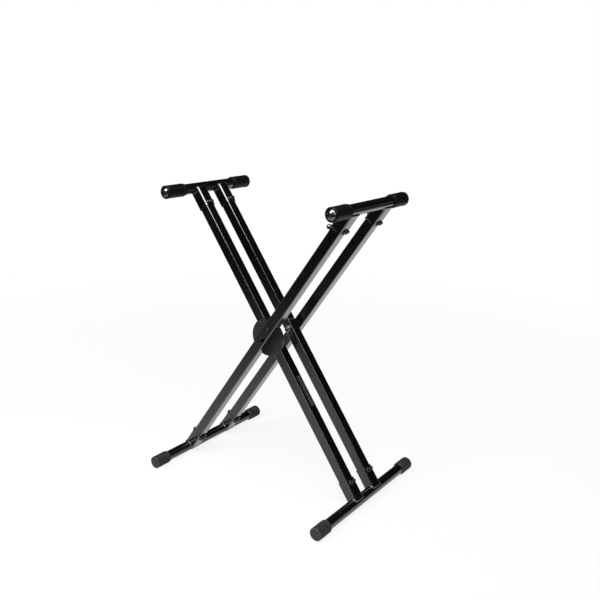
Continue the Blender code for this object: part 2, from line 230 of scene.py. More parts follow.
def drill(piece, axis, radius, low, high, centre=(0, 0, 0), sides=modelling["drillSides"]):
    tool = drawOut("drill", axis, sides, [(low, radius), (high, radius)])
    tool.location = centre
    fixPlace(tool)
    applyTool(piece, tool, "DIFFERENCE")


def smooth(piece, angle=modelling["smoothAngle"]):
    takeOnly(piece)
    bpy.ops.object.shade_smooth_by_angle(angle=math.radians(angle))


# flat faces keep their flat shading beside rounded corners
def keepFlats(piece):
    takeOnly(piece)
    modifier = piece.modifiers.new("flats", "WEIGHTED_NORMAL")
    modifier.keep_sharp = True
    bpy.ops.object.modifier_apply(modifier=modifier.name)


def joinInto(piece, other):
    takeOnly(piece)
    other.select_set(True)
    bpy.ops.object.join()


# a copy with its own mesh, settled in its place, riding and standing for its node
def putCopy(source, name, place, body, node, material=None):
    piece = source.copy()
    piece.data = source.data.copy()
    piece.name = name
    piece.data.name = name
    bpy.context.collection.objects.link(piece)
    takeOnly(piece)
    piece.matrix_world = place
    bpy.ops.object.transform_apply(location=True, rotation=True, scale=True)
    if material is not None:
        piece.data.materials.clear()
        piece.data.materials.append(material)
    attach(piece, body)
    if node:
        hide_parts(node)


def throwAway(*pieces):
    for piece in pieces:
        bpy.data.objects.remove(piece, do_unlink=True)


# materials

def colour(hexText):
    parts = [int(hexText[i:i + 2], 16) / 255 for i in (1, 3, 5)]
    linear = [p / 12.92 if p <= 0.04045 else ((p + 0.055) / 1.055) ** 2.4 for p in parts]
    return (linear[0], linear[1], linear[2], 1.0)


# a node with its settings, by name or by socket number, and its links
def addNode(tree, kind, settings=None, links=None):
    node = tree.nodes.new(kind)
    for key, value in (settings or {}).items():
        if isinstance(key, str) and hasattr(node, key):
            setattr(node, key, value)
        else:
            node.inputs[key].default_value = value
    for key, (source, output) in (links or {}).items():
        tree.links.new(source.outputs[output], node.inputs[key])
    return node


def newMaterial(name):
    material = bpy.data.materials.new(name)
    material.use_nodes = True
    tree = material.node_tree
    shader = tree.nodes["Principled BSDF"]
    where = addNode(tree, "ShaderNodeTexCoord")
    return material, tree, shader, where


# a value that wanders between two levels over the surface
def wander(tree, where, size, levels, detail=3.0):
    noise = addNode(
        tree, "ShaderNodeTexNoise", {"Scale": 1 / size, "Detail": detail},
        {"Vector": (where, "Object")})
    return addNode(
        tree, "ShaderNodeMapRange",
        {"From Min": 0.3, "From Max": 0.7, "To Min": levels[0], "To Max": levels[1]},
        {"Value": (noise, "Fac")})


# a fine grain, raised a little from the surface and drawn coarse enough to show
def giveGrain(tree, shader, where, size, strength, distance, detail=3.0, before=None):
    noise = addNode(
        tree, "ShaderNodeTexNoise", {"Scale": 1 / size, "Detail": detail},
        {"Vector": (where, "Object")})
    bump = addNode(
        tree, "ShaderNodeBump", {"Strength": strength, "Distance": distance},
        {"Height": (noise, "Fac")})
    if before is not None:
        tree.links.new(before.outputs["Normal"], bump.inputs["Normal"])
    tree.links.new(bump.outputs["Normal"], shader.inputs["Normal"])


# a material whose colour and gloss each wander between two values over patches of a size
def newFinish(name, levels, tints, tintSize, gloss, glossSize, tintDetail=3.0):
    material, tree, shader, where = newMaterial(name)
    for key, value in levels.items():
        shader.inputs[key].default_value = value
    patches = wander(tree, where, tintSize, (0.0, 1.0), tintDetail)
    tint = addNode(
        tree, "ShaderNodeMix", {"data_type": "RGBA", 6: colour(tints[0]), 7: colour(tints[1])},
        {0: (patches, 0)})
    tree.links.new(tint.outputs[2], shader.inputs["Base Color"])
    sheen = wander(tree, where, glossSize, gloss)
    tree.links.new(sheen.outputs[0], shader.inputs["Roughness"])
    return material, tree, shader, where


# Polyester powder coat baked on steel tube, with a clear gloss film over the black one. Both melt
# smooth, so the eye gets deep black with long soft reflections and a faint orange peel under them.
powderCoat, tree, shader, where = newFinish(
    "powderCoatBlack",
    {"IOR": 1.45, "Coat Weight": 1.0, "Coat Roughness": 0.10, "Coat IOR": 1.45},
    tints=("#060607", "#0c0c0d"), tintSize=0.030, gloss=(0.17, 0.24), glossSize=0.045)
giveGrain(tree, shader, where, size=0.0022, strength=0.06, distance=0.0003, detail=2.0)

# The same paint on the tubes' long corners, made lighter and more reflective than the rest: a
# painted highlight, so the eye gets a thin bright line along each leg.
cornerHighlightCoat, tree, shader, where = newFinish(
    "powderCoatCornerHighlight",
    {"IOR": 1.7, "Coat Weight": 1.0, "Coat Roughness": 0.07, "Coat IOR": 1.9},
    tints=("#08080a", "#101012"), tintSize=0.020, gloss=(0.12, 0.22), glossSize=0.012)

waveTurn = 2 * math.pi / 20                        # one wave of a wave texture at scale 1

# Satin enamel on pressed steel discs, with the faint rings that facing on a lathe leaves. They
# are drawn 4.7 mm apart so that they show.
satinEnamel, tree, shader, where = newFinish(
    "satinEnamelDisc", {"IOR": 1.4},
    tints=("#1e1e1f", "#282829"), tintSize=0.020, gloss=(0.42, 0.52), glossSize=0.015)
centred = addNode(
    tree, "ShaderNodeMapping", {"Location": (0, 0, -layout["pivotHeight"])},
    {"Vector": (where, "Object")})
latheRings = addNode(
    tree, "ShaderNodeTexWave",
    {"wave_type": "RINGS", "rings_direction": "Y", "Scale": waveTurn / 0.004735,
     "Distortion": 0.6, "Detail": 1.0}, {"Vector": (centred, "Vector")})
relief = addNode(
    tree, "ShaderNodeBump", {"Strength": 0.05, "Distance": 0.0002},
    {"Height": (latheRings, "Fac")})
tree.links.new(relief.outputs["Normal"], shader.inputs["Normal"])

# Moulded EPDM rubber of the feet: charcoal and matt, with a fine spark-eroded grain.
mouldedRubber, tree, shader, where = newFinish(
    "mouldedRubberCharcoal", {"IOR": 1.5}, tints=("#1c1c1d", "#272728"), tintSize=0.008,
    gloss=(0.48, 0.62), glossSize=0.010, tintDetail=5.0)
giveGrain(tree, shader, where, size=0.0009, strength=0.25, distance=0.0003)

# The same rubber on the crowns of the studs and on the rim: a little glossier, where the mould
# polishes it, and painted lighter as a highlight on them.
studHighlightRubber, tree, shader, where = newFinish(
    "studRubberPaintedHighlight", {"IOR": 1.5}, tints=("#2a2a2b", "#424245"), tintSize=0.003,
    gloss=(0.34, 0.50), glossSize=0.004, tintDetail=5.0)
giveGrain(tree, shader, where, size=0.0009, strength=0.20, distance=0.0003)

# The same rubber down in the grooves: matt and painted near black as the shade that falls there,
# so that the studs stand out.
grooveShadeRubber, tree, shader, where = newFinish(
    "grooveRubberPaintedShade", {"IOR": 1.5}, tints=("#060606", "#0d0d0d"), tintSize=0.003,
    gloss=(0.60, 0.75), glossSize=0.004, tintDetail=5.0)

# Dipped soft vinyl of the arm sleeves: black and wet-looking on the dome, with a faint ripple.
dippedVinyl, tree, shader, where = newFinish(
    "dippedVinylBlack",
    {"IOR": 1.6, "Coat Weight": 1.0, "Coat Roughness": 0.06, "Coat IOR": 1.9},
    tints=("#070707", "#0d0d0d"), tintSize=0.012, gloss=(0.10, 0.16), glossSize=0.020)
giveGrain(tree, shader, where, size=0.004, strength=0.05, distance=0.0003, detail=1.0)

# The same vinyl where the mould is grained: a dull skin with close rings, drawn 2.8 mm apart so
# that they show.
grainedVinyl, tree, shader, where = newFinish(
    "grainedVinylBlack", {"IOR": 1.5, "Specular IOR Level": 0.15},
    tints=("#050505", "#0b0b0b"), tintSize=0.006, gloss=(0.38, 0.52), glossSize=0.006,
    tintDetail=4.0)
closeRings = addNode(
    tree, "ShaderNodeTexWave",
    {"wave_type": "BANDS", "bands_direction": "Y", "Scale": waveTurn / 0.002762},
    {"Vector": (where, "Object")})
relief = addNode(
    tree, "ShaderNodeBump", {"Strength": 0.35, "Distance": 0.0003},
    {"Height": (closeRings, "Fac")})
giveGrain(tree, shader, where, size=0.0010, strength=0.25, distance=0.0003, before=relief)

# Black zinc plating on cold-headed steel: dark metal with bright edges and a cloudy sheen.
blackZinc, tree, shader, where = newFinish(
    "blackZincSteel", {"Metallic": 1.0},
    tints=("#35353a", "#59595f"), tintSize=0.004, gloss=(0.13, 0.24), glossSize=0.003)
giveGrain(tree, shader, where, size=0.0012, strength=0.12, distance=0.0002, detail=2.0)

# Bright zinc plating: pale grey metal with a faint blue cast.
brightZinc, tree, shader, where = newFinish(
    "brightZincSteel", {"Metallic": 1.0},
    tints=("#b4b7bb", "#d3d5d8"), tintSize=0.004, gloss=(0.30, 0.44), glossSize=0.003)
giveGrain(tree, shader, where, size=0.0012, strength=0.12, distance=0.0002, detail=2.0)

# Brushed aluminium sheet. The belt leaves hairlines along the plate; they are drawn 0.5 mm apart
# so that they show.
brushedSheet, tree, shader, where = newMaterial("brushedAluminium")
shader.inputs["Metallic"].default_value = 1.0
alongLeg = addNode(
    tree, "ShaderNodeMapping", {"vector_type": "TEXTURE", "Rotation": (0, leanOf["inner"], 0)},
    {"Vector": (where, "Object")})
stretched = addNode(
    tree, "ShaderNodeMapping", {"Scale": (1, 1, 0.03)}, {"Vector": (alongLeg, "Vector")})
hairlines = addNode(
    tree, "ShaderNodeTexNoise", {"Scale": 1 / 0.0005, "Detail": 3.0},
    {"Vector": (stretched, "Vector")})
tint = addNode(
    tree, "ShaderNodeMix", {"data_type": "RGBA", 6: colour("#8f9194"), 7: colour("#b9babd")},
    {0: (hairlines, 0)})
tree.links.new(tint.outputs[2], shader.inputs["Base Color"])
sheen = addNode(
    tree, "ShaderNodeMapRange", {"To Min": 0.30, "To Max": 0.46}, {"Value": (hairlines, "Fac")})
tree.links.new(sheen.outputs[0], shader.inputs["Roughness"])
relief = addNode(
    tree, "ShaderNodeBump", {"Strength": 0.15, "Distance": 0.0002}, {"Height": (hairlines, "Fac")})
tree.links.new(relief.outputs["Normal"], shader.inputs["Normal"])
print("materials made")

materialOf = {
    "frame_paint": powderCoat, "cap_rubber": mouldedRubber, "black_hardware": blackZinc,
    "bright_hardware": brightZinc, "disc_paint": satinEnamel, "plate_metal": brushedSheet,
}
slotOf = {}
for part in frame["record"]["subparts"]:
    slotOf[part["node"]] = part["material_slot"]
for node, holder in frame["nodes"].items():
    for materialSlot in holder.material_slots:
        materialSlot.material = materialOf[slotOf[node]]


# square leg tubes, whose long corners take the lighter corner paint as a painted highlight

legTube = {"side": 0.030, "wall": 0.0016, "corner": 0.0025, "low": -0.500, "high": 0.465,
           "studHole": 0.0033, "studFromBar": 0.078}


def makeTube():
    tube = addBlock("leg", legTube["side"], legTube["side"], legTube["low"], legTube["high"])
    openEdges(tube, lambda edge: runsAlong(edge, "Z"))
    bpy.ops.mesh.bevel(offset=legTube["corner"], segments=5, affect="EDGES")
    closeEdit()
    openFaces(tube, lambda face: isFacing(face, "Z"))
    bpy.ops.mesh.inset(thickness=legTube["wall"])
    bpy.ops.mesh.bridge_edge_loops()
    closeEdit()
    facesOut(tube)
    tube.data.materials.append(powderCoat)
    tube.data.materials.append(cornerHighlightCoat)
    paintFaces(tube, 1, isRounded)
    return tube


through = legTube["side"]
footBolt = layout["boltFromBar"] - layout["footReach"]
armBolt = layout["armReach"] - layout["boltFromBar"]
studReach = layout["armReach"] - legTube["studFromBar"]
for side in ("outer", "inner"):
    for row in ("front", "rear"):
        leg = makeTube()
        drill(leg, "Y", layout["pivotHole"], -through, through)
        for height in (footBolt, armBolt):
            drill(leg, "X", layout["boltHole"], -through, through, (0, 0, height))
        if side == "outer" and row == "front":
            drill(leg, "Y", layout["pinHole"], -through, through, (0, 0, layout["pinFromPivot"]))
            drill(leg, "X", legTube["studHole"], -through, 0, (0, 0, studReach))
        smooth(leg)
        keepFlats(leg)
        putCopy(leg, side + row.capitalize() + "LegTube", onLeg(side, row, 0), side + "_frame",
                side + "_leg_" + row)
        throwAway(leg)
print("leg tubes made")


# round bars of the feet and the arms

roundBar = {"radius": 0.015, "wall": 0.0016, "edge": 0.0004, "footHalf": 0.23245,
            "armHalf": 0.1647, "sides": 64}

for end, half, reach in (("foot", roundBar["footHalf"], -layout["footReach"]),
                         ("arm", roundBar["armHalf"], layout["armReach"])):
    edge = roundBar["edge"]
    bar = drawOut("bar", "Y", roundBar["sides"], [
        (-half, roundBar["radius"] - edge), (-half + edge, roundBar["radius"]),
        (half - edge, roundBar["radius"]), (half, roundBar["radius"] - edge)])
    openFaces(bar, lambda face: isFacing(face, "Y"))
    bpy.ops.mesh.inset(thickness=roundBar["wall"] - edge)
    bpy.ops.mesh.bridge_edge_loops()
    closeEdit()
    facesOut(bar)
    smooth(bar)
    for side in ("outer", "inner"):
        putCopy(bar, side + end.capitalize() + "Bar", onBar(side, reach, 0), side + "_frame",
                side + "_" + end + "_bar", powderCoat)
    throwAway(bar)
print("round bars made")


# welded sockets with a rolled lip

socket = {"side": 0.0350, "corner": 0.0050, "wall": 0.0022, "low": 0.005, "high": 0.066,
          "lip": 0.0008, "lipLength": 0.0030, "lipEdge": 0.0004, "innerCorner": 0.0028,
          "upright": 0.1, "sharp": 57, "cornerNormal": (0.05, 0.998),
          "saddle": 0.0153, "saddleSides": 64, "through": 0.03, "boreEnd": 0.10}

sleeve = addBlock("sleeve", socket["side"], socket["side"], socket["low"], socket["high"])
openEdges(sleeve, lambda edge: runsAlong(edge, "Z"))
bpy.ops.mesh.bevel(offset=socket["corner"], segments=6, affect="EDGES")
closeEdit()
takeOnly(sleeve)
bpy.ops.object.mode_set(mode="EDIT")
bpy.ops.mesh.select_all(action="SELECT")
lipLow = socket["high"] - socket["lipLength"]
bpy.ops.mesh.bisect(plane_co=(0, 0, lipLow), plane_no=(0, 0, 1))
closeEdit()
openFaces(sleeve, lambda face: not isFacing(face, "Z", socket["upright"])
          and face.calc_center_median().z > lipLow)
bpy.ops.mesh.extrude_region_shrink_fatten(
    TRANSFORM_OT_shrink_fatten={"value": socket["lip"]})
closeEdit()


def onLip(edge):
    first, second = edge.verts[0].co.z, edge.verts[1].co.z
    level = abs(first - second) < modelling["close"]
    sharp = edge.calc_face_angle(0) > math.radians(socket["sharp"])
    return level and sharp and min(first, second) > lipLow - modelling["close"]


openEdges(sleeve, onLip)
bpy.ops.mesh.bevel(offset=socket["lipEdge"], segments=2, affect="EDGES")
closeEdit()
inside = socket["side"] - 2 * socket["wall"]
through = socket["through"]
bore = addBlock("bore", inside, inside, -through, socket["boreEnd"])
openEdges(bore, lambda edge: runsAlong(edge, "Z"))
bpy.ops.mesh.bevel(offset=socket["innerCorner"], segments=5, affect="EDGES")
closeEdit()
applyTool(sleeve, bore, "DIFFERENCE")
drill(sleeve, "Y", socket["saddle"], -through, through, sides=socket["saddleSides"])
drill(sleeve, "X", layout["boltHole"], -through, through, (0, 0, layout["boltFromBar"]))
facesOut(sleeve)
sleeve.data.materials.append(powderCoat)
sleeve.data.materials.append(cornerHighlightCoat)


def onOuterCorner(face):
    middle = face.calc_center_median()
    least, most = socket["cornerNormal"]
    rounded = least < abs(face.normal.x) < most and least < abs(face.normal.y) < most
    return rounded and max(abs(middle.x), abs(middle.y)) > socket["side"] / 2 - socket["corner"]


# the sockets' outer corners take the lighter corner paint, a painted highlight
paintFaces(sleeve, 1, onOuterCorner)
smooth(sleeve)
keepFlats(sleeve)


# weld beads between the sockets and the round bars

weldBead = {"radius": 0.0019, "ripple": 0.00024, "ripples": 40, "points": 184, "out": 0.0006,
            "squareness": 7, "above": 0.0012, "tuck": 0.0012, "tuckPower": 6, "tuckGain": 2,
            "smooth": 60}


# the bead follows the sleeve's outline, up and over the round bar
def beadPoint(share):
    half = socket["side"] / 2
    turn = 2 * math.pi * share
    across, along = math.cos(turn), math.sin(turn)
    power = weldBead["squareness"]
    reach = (abs(across) ** power + abs(along) ** power) ** (-1 / power)
    x = half * across * reach
    y = half * along * reach
    climb = math.sqrt(max(roundBar["radius"] ** 2 - x * x, 0.0))
    z = max(climb, socket["low"] - weldBead["above"]) + weldBead["out"]
    tucked = min(weldBead["tuckGain"] * abs(across) ** weldBead["tuckPower"], 1)
    inward = 1 - weldBead["tuck"] / half * tucked
    return x * inward, y * (1 + weldBead["out"] / half), z


path = bpy.data.curves.new("beadPath", "CURVE")
path.dimensions = "3D"
path.bevel_depth = weldBead["radius"]
path.bevel_resolution = 3
line = path.splines.new("POLY")
line.points.add(weldBead["points"] - 1)
line.use_cyclic_u = True
for index, point in enumerate(line.points):
    share = index / weldBead["points"]
    point.co = (*beadPoint(share), 1.0)
    swell = math.cos(2 * math.pi * weldBead["ripples"] * share)
    point.radius = 1 + weldBead["ripple"] / weldBead["radius"] * swell
bead = bpy.data.objects.new("bead", path)
bpy.context.collection.objects.link(bead)
takeOnly(bead)
bpy.ops.object.convert(target="MESH")
bead = bpy.context.object
facesOut(bead)
smooth(bead, weldBead["smooth"])

overTurn = Matrix.Rotation(math.pi, 4, "Y")
for side in ("outer", "inner"):
    for row in ("front", "rear"):
        for end in ("foot", "arm"):
            if end == "foot":
                place = onLeg(side, row, -layout["footReach"])
            else:
                place = onLeg(side, row, layout["armReach"]) @ overTurn
            label = side + row.capitalize() + end.capitalize()
            node = side + "_" + end + "_socket_" + row
            putCopy(sleeve, label + "Socket", place, side + "_frame", node)
            # the welds take the lighter corner paint too, a painted highlight
            putCopy(bead, label + "Weld", place, side + "_frame", None, cornerHighlightCoat)
throwAway(sleeve, bead)
print("sockets and welds made")


# rubber foot caps: a bulged end, a rim, a band of studs and a plain mouth
# rim and mouth hold a place and what is cut from the radius there, the mouth's from the open end

footCap = {"radius": 0.0185, "length": 0.0525, "outerEnd": 0.23875, "bore": 0.0153,
           "floor": 0.006, "flat": 0.0005, "sides": 36, "pole": 0.004, "bulge": 0.0012,
           "bulgeSteps": 3, "edge": 0.003, "rim": ((0.0017, 0.0016), (0.0024, 0.0008)),
           "rimLow": 0.0010, "shoulder": 0.0002, "shoulderLow": 0.0005, "shoulderHigh": 0.0006,
           "mouth": (0.0022, 0.0004), "lip": 0.0015, "lipEdge": (0.0005, 0.0004),
           "bandLow": 0.0036, "bandHigh": 0.0455, "bandRows": 12, "studGap": 0.00075,
           "studHeight": 0.0009, "smooth": 25}

outer = footCap["radius"]
base = outer - footCap["studHeight"]
lip = footCap["bore"] + footCap["lip"]
end = footCap["length"]
rings = [(0.0, footCap["pole"])]
rings += domeRings(0.0, footCap["bulge"], outer - footCap["edge"], footCap["bulgeSteps"])
rings += [(place, outer - cut) for place, cut in footCap["rim"]]
rings += [(footCap["bandLow"] - footCap["shoulderLow"], outer - footCap["shoulder"])]
rings += [(footCap["bandLow"], base)]
pitch = (footCap["bandHigh"] - footCap["bandLow"]) / footCap["bandRows"]
for step in range(1, footCap["bandRows"] + 1):
    rings.append((footCap["bandLow"] + pitch * step, base))
rings += [(footCap["bandHigh"] + footCap["shoulderHigh"], outer - footCap["shoulder"])]
rings += [(end - footCap["mouth"][0], outer - footCap["mouth"][1])]
rings += [(end - footCap["lipEdge"][0], lip + footCap["lipEdge"][1])]
rings += [(end, lip), (end, footCap["bore"]), (footCap["floor"], footCap["bore"])]
cap = drawOut("cap", "Y", footCap["sides"], rings)


def inBand(face):
    middle = face.calc_center_median()
    outside = math.hypot(middle.x, middle.z) > (footCap["bore"] + base) / 2
    return outside and footCap["bandLow"] < middle.y < footCap["bandHigh"]


def onRim(face):
    rimHigh = footCap["bandLow"] - footCap["shoulderLow"]
    return footCap["rimLow"] < face.calc_center_median().y < rimHigh


for rubber in (mouldedRubber, studHighlightRubber, grooveShadeRubber):
    cap.data.materials.append(rubber)
openFaces(cap, inBand)
# the grooves take the near-black rubber, a painted shade
cap.active_material_index = 2                      # the grooves
bpy.ops.object.material_slot_assign()
bpy.ops.mesh.inset(
    thickness=footCap["studGap"], depth=footCap["studHeight"], use_individual=True)
# the crowns take the lighter rubber, a painted highlight
cap.active_material_index = 1                      # the crowns, which stay selected
bpy.ops.object.material_slot_assign()
closeEdit()
# the rim takes the crowns' lighter rubber too, a painted highlight at the end's edge
paintFaces(cap, 1, onRim)
ground = outer - footCap["flat"]
openVerts(cap, lambda spot: spot.z < -ground)
bpy.ops.transform.resize(value=(1, 1, 0), center_override=(0, 0, -ground))
closeEdit()
smooth(cap, footCap["smooth"])


# soft sleeves on the arms: a shallow glossy dome, a groove, a round collar and a grained body
# pairs hold a place, counted from the dome, the hem or the open end, and a change of radius

armCap = {"radius": 0.0190, "length": 0.0788, "outerEnd": 0.177, "bore": 0.0153,
          "floor": 0.012, "flat": 0.0010, "sides": 64, "dome": 0.0136, "rise": 0.0072,
          "domeSteps": 15, "groove": 0.0128, "grooveOut": ((0.0004, 0.0004), (0.0006, 0.0010)),
          "collarLow": 0.0002, "collarEdge": 0.0032, "collarSteps": 4, "collar": 0.0070,
          "dip": 0.0005, "dipLength": 0.0006, "taper": 0.010, "hem": 0.0020,
          "hemEdge": (0.0032, 0.0009), "lip": 0.0016, "lipEdge": (0.0008, 0.0005), "smooth": 25}

outer = armCap["radius"]
dipped = outer - armCap["dip"]
lip = armCap["bore"] + armCap["lip"]
shoulder = armCap["rise"]
sphere = (armCap["dome"] ** 2 + armCap["rise"] ** 2) / 2 / armCap["rise"]
spread = 2 * math.atan(armCap["rise"] / armCap["dome"])
rings = domeRings(0.0, sphere, sphere, armCap["domeSteps"], spread)
rings += [(shoulder + place, armCap["groove"] + out) for place, out in armCap["grooveOut"]]
for step in range(1, armCap["collarSteps"] + 1):
    angle = quarter * step / armCap["collarSteps"]
    rings.append((shoulder + armCap["collarLow"] + armCap["collarEdge"] * (1 - math.cos(angle)),
                  outer - armCap["collarEdge"] * (1 - math.sin(angle))))
collarEnd = shoulder + armCap["collar"]
hemLow = armCap["length"] - armCap["taper"]
rings += [(collarEnd, outer), (collarEnd + armCap["dipLength"], dipped)]
rings += [(hemLow - armCap["dipLength"], dipped), (hemLow, outer)]
rings += [(hemLow + armCap["hem"], outer)]
rings += [(hemLow + armCap["hemEdge"][0], outer - armCap["hemEdge"][1])]
rings += [(armCap["length"] - armCap["lipEdge"][0], lip + armCap["lipEdge"][1])]
rings += [(armCap["length"], lip), (armCap["length"], armCap["bore"])]
rings += [(armCap["floor"], armCap["bore"])]
softCap = drawOut("softCap", "Y", armCap["sides"], rings)
rest = outer - armCap["flat"]
openVerts(softCap, lambda spot: spot.z > rest)
bpy.ops.transform.resize(value=(1, 1, 0), center_override=(0, 0, rest))
closeEdit()
softCap.data.materials.append(dippedVinyl)
softCap.data.materials.append(grainedVinyl)
domeEnd = armCap["rise"] - armCap["collarLow"]
paintFaces(softCap, 1, lambda face: face.calc_center_median().y > domeEnd)
smooth(softCap, armCap["smooth"])

halfTurn = Matrix.Rotation(math.pi, 4, "Z")
for side in ("outer", "inner"):
    for end, reach, half, source in (
            ("foot", -layout["footReach"], footCap["outerEnd"], cap),
            ("arm", layout["armReach"], armCap["outerEnd"], softCap)):
        for row, way, turn in (("front", -1, Matrix.Identity(4)), ("rear", 1, halfTurn)):
            putCopy(source, side + row.capitalize() + end.capitalize() + "Cap",
                    onBar(side, reach, way * half) @ turn, side + "_frame",
                    side + "_" + end + "_cap_" + row)
throwAway(cap, softCap)
print("caps made")


# cross bolts with domed heads and a washer's flange

crossBolt = {"seat": 0.0178, "washer": 0.0090, "washerHeight": 0.0016, "washerEdge": 0.0004,
             "washerFoot": 0.0003, "head": 0.0068, "headHeight": 0.0065, "headFoot": 0.0001,
             "shank": 0.0040, "threadLow": 0.014, "end": 0.0246, "pitch": 0.00125,
             "threadDepth": 0.0004, "headSteps": 8, "sides": 40, "smooth": 40}
thread = {"valley": (0.35, 0.50), "tipLength": 0.0006, "tipCut": 0.0008}


# the rings of a thread, drawn as ridges side by side, with a plain tip
def threadRings(low, high, radius, pitch, depth):
    rings = []
    place = low
    while place + pitch < high:
        rings.append((place, radius))
        rings += [(place + pitch * share, radius - depth) for share in thread["valley"]]
        place += pitch
    rings += [(place, radius), (high - thread["tipLength"], radius)]
    return rings + [(high, radius - thread["tipCut"])]


seat = crossBolt["seat"]
top = seat + crossBolt["washerHeight"]
washerRadius = crossBolt["washer"]
edge = crossBolt["washerEdge"]
foot = crossBolt["washerFoot"]
rings = domeRings(-top - crossBolt["headHeight"], crossBolt["headHeight"], crossBolt["head"],
                  crossBolt["headSteps"])
rings += [(-top - crossBolt["headFoot"], crossBolt["head"] + foot), (-top, washerRadius - edge)]
rings += [(-top + edge, washerRadius), (-seat - foot, washerRadius)]
rings += [(-seat, washerRadius - foot), (-seat, crossBolt["shank"])]
rings += threadRings(crossBolt["threadLow"], crossBolt["end"], crossBolt["shank"],
                     crossBolt["pitch"], crossBolt["threadDepth"])
bolt = drawOut("bolt", "X", crossBolt["sides"], rings)
smooth(bolt, crossBolt["smooth"])


# wing nuts on washers: a hub with two domed lobes on necks

wingNut = {"hub": 0.0054, "hubTop": 0.0047, "hubStraight": 0.0025, "height": 0.0042,
           "edge": 0.0006, "sink": 0.0003, "wingAt": 0.0087, "lobe": 0.0051,
           "lobeLow": 0.0178, "lobeHigh": 0.0238, "lobeSides": 28, "lobeSteps": 6, "wall": 0.0030,
           "neckLow": 0.0194, "neckHigh": 0.0226, "neckHalf": 0.0031, "neckEdge": 0.0010,
           "through": 0.05, "turns": {"outer": 0, "inner": 2}, "smooth": 35}

hubEnd = top + wingNut["height"]
nut = drawOut("nut", "X", crossBolt["sides"], [
    (top - wingNut["sink"], wingNut["hub"]), (top + wingNut["hubStraight"], wingNut["hub"]),
    (hubEnd - wingNut["edge"], wingNut["hubTop"]),
    (hubEnd, wingNut["hubTop"] - wingNut["edge"])])
for way in (-1, 1):
    low, edge = wingNut["lobeLow"], wingNut["edge"]
    rings = [(low, wingNut["lobe"] - edge), (low + edge, wingNut["lobe"])]
    dome = wingNut["lobeHigh"] - low - wingNut["wall"]
    for step in range(wingNut["lobeSteps"]):
        angle = quarter * step / wingNut["lobeSteps"]
        rings.append((low + wingNut["wall"] + dome * math.sin(angle),
                      wingNut["lobe"] * math.cos(angle)))
    lobe = drawOut("lobe", "X", wingNut["lobeSides"], rings)
    lobe.location = (0, way * wingNut["wingAt"], 0)
    fixPlace(lobe)
    neck = addBlock("neck", wingNut["neckHigh"] - wingNut["neckLow"], wingNut["wingAt"],
                    -wingNut["neckHalf"], wingNut["neckHalf"],
                    (wingNut["neckLow"] + wingNut["neckHigh"]) / 2)
    neck.location = (0, way * wingNut["wingAt"] / 2, 0)
    fixPlace(neck)
    openEdges(neck, lambda edge: runsAlong(edge, "Y"))
    bpy.ops.mesh.bevel(offset=wingNut["neckEdge"], segments=3, affect="EDGES")
    closeEdit()
    applyTool(nut, neck, "UNION")
    applyTool(nut, lobe, "UNION")
drill(nut, "X", layout["boltHole"], 0, wingNut["through"])
facesOut(nut)
washer = drawOut("washer", "X", crossBolt["sides"], [
    (seat, washerRadius - foot), (seat + foot, washerRadius),
    (top - crossBolt["washerEdge"], washerRadius), (top, washerRadius - crossBolt["washerEdge"])])
drill(washer, "X", layout["boltHole"], 0, wingNut["through"])
joinInto(nut, washer)
smooth(nut, wingNut["smooth"])

for side in ("outer", "inner"):
    for row in ("front", "rear"):
        for end, reach in (("foot", footBolt), ("arm", armBolt)):
            twist = Matrix.Rotation(math.radians(wingNut["turns"][side]), 4, "X")
            place = onLeg(side, row, reach) @ twist
            label = side + row.capitalize() + end.capitalize()
            for kind, source in (("bolt", bolt), ("nut", nut)):
                putCopy(source, label + kind.capitalize(), place, side + "_frame",
                        side + "_" + end + "_" + kind + "_" + row, blackZinc)
throwAway(bolt, nut)
print("cross bolts and wing nuts made")


# clutch discs, with holes for the pin at steps of some degrees

clutchDisc = {"radius": 0.055, "edge": 0.0010, "bevel": (0.4, 0.3), "edgeNormal": 0.95,
              "sides": 128, "step": 16, "open": 2, "closed": 4, "through": 0.2, "smooth": 40}


def makeDisc(name, node, side, angles):
    low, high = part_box(node)
    outer, edge, through = clutchDisc["radius"], clutchDisc["edge"], clutchDisc["through"]
    along, across = clutchDisc["bevel"]
    disc = drawOut(name, "Y", clutchDisc["sides"], [
        (low.y, outer - edge), (low.y + edge * along, outer - edge * across),
        (low.y + edge, outer), (high.y - edge, outer),
        (high.y - edge * along, outer - edge * across), (high.y, outer - edge)])
    drill(disc, "Y", layout["pivotHole"], -through, through)
    for angle in angles:
        circle = layout["pinFromPivot"]
        spot = (circle * math.sin(angle), 0, circle * math.cos(angle))
        drill(disc, "Y", layout["pinHole"], -through, through, spot)
    disc.data.materials.append(satinEnamel)
    disc.data.materials.append(powderCoat)
    paintFaces(disc, 1, lambda face: not isFacing(face, "Y", clutchDisc["edgeNormal"]))
    smooth(disc, clutchDisc["smooth"])
    keepFlats(disc)
    place = Matrix.Translation((0, 0, layout["pivotHeight"]))
    putCopy(disc, name + "Plate", place @ Matrix.Rotation(leanOf[side], 4, "Y"),
            side + "_frame", node)
    throwAway(disc)


makeDisc("outerClutch", "outer_clutch_disc", "outer", [0.0])
lockAngles = []
for step in range(-clutchDisc["open"], clutchDisc["closed"] + 1):
    lockAngles.append(math.radians(2 * layout["lean"] - clutchDisc["step"] * step))
makeDisc("innerClutch", "inner_clutch_disc", "inner", lockAngles)
print("clutch discs made")


# pivot bolts and nuts

pivotBolt = {"shank": 0.005, "acrossFlats": 0.017, "headHeight": 0.0065, "pitch": 0.0015,
             "threadDepth": 0.0005, "threadLength": 0.016, "threadGap": 0.0005,
             "dish": ((-0.002, 0.0062), (0.0004, 0.0056), (0.0011, 0.0042)),
             "chamfer": 0.97, "clear": 1.02, "slope": 0.55, "cornerSides": 48,
             "turn": 12, "sides": 40, "through": 0.2, "smooth": 30}


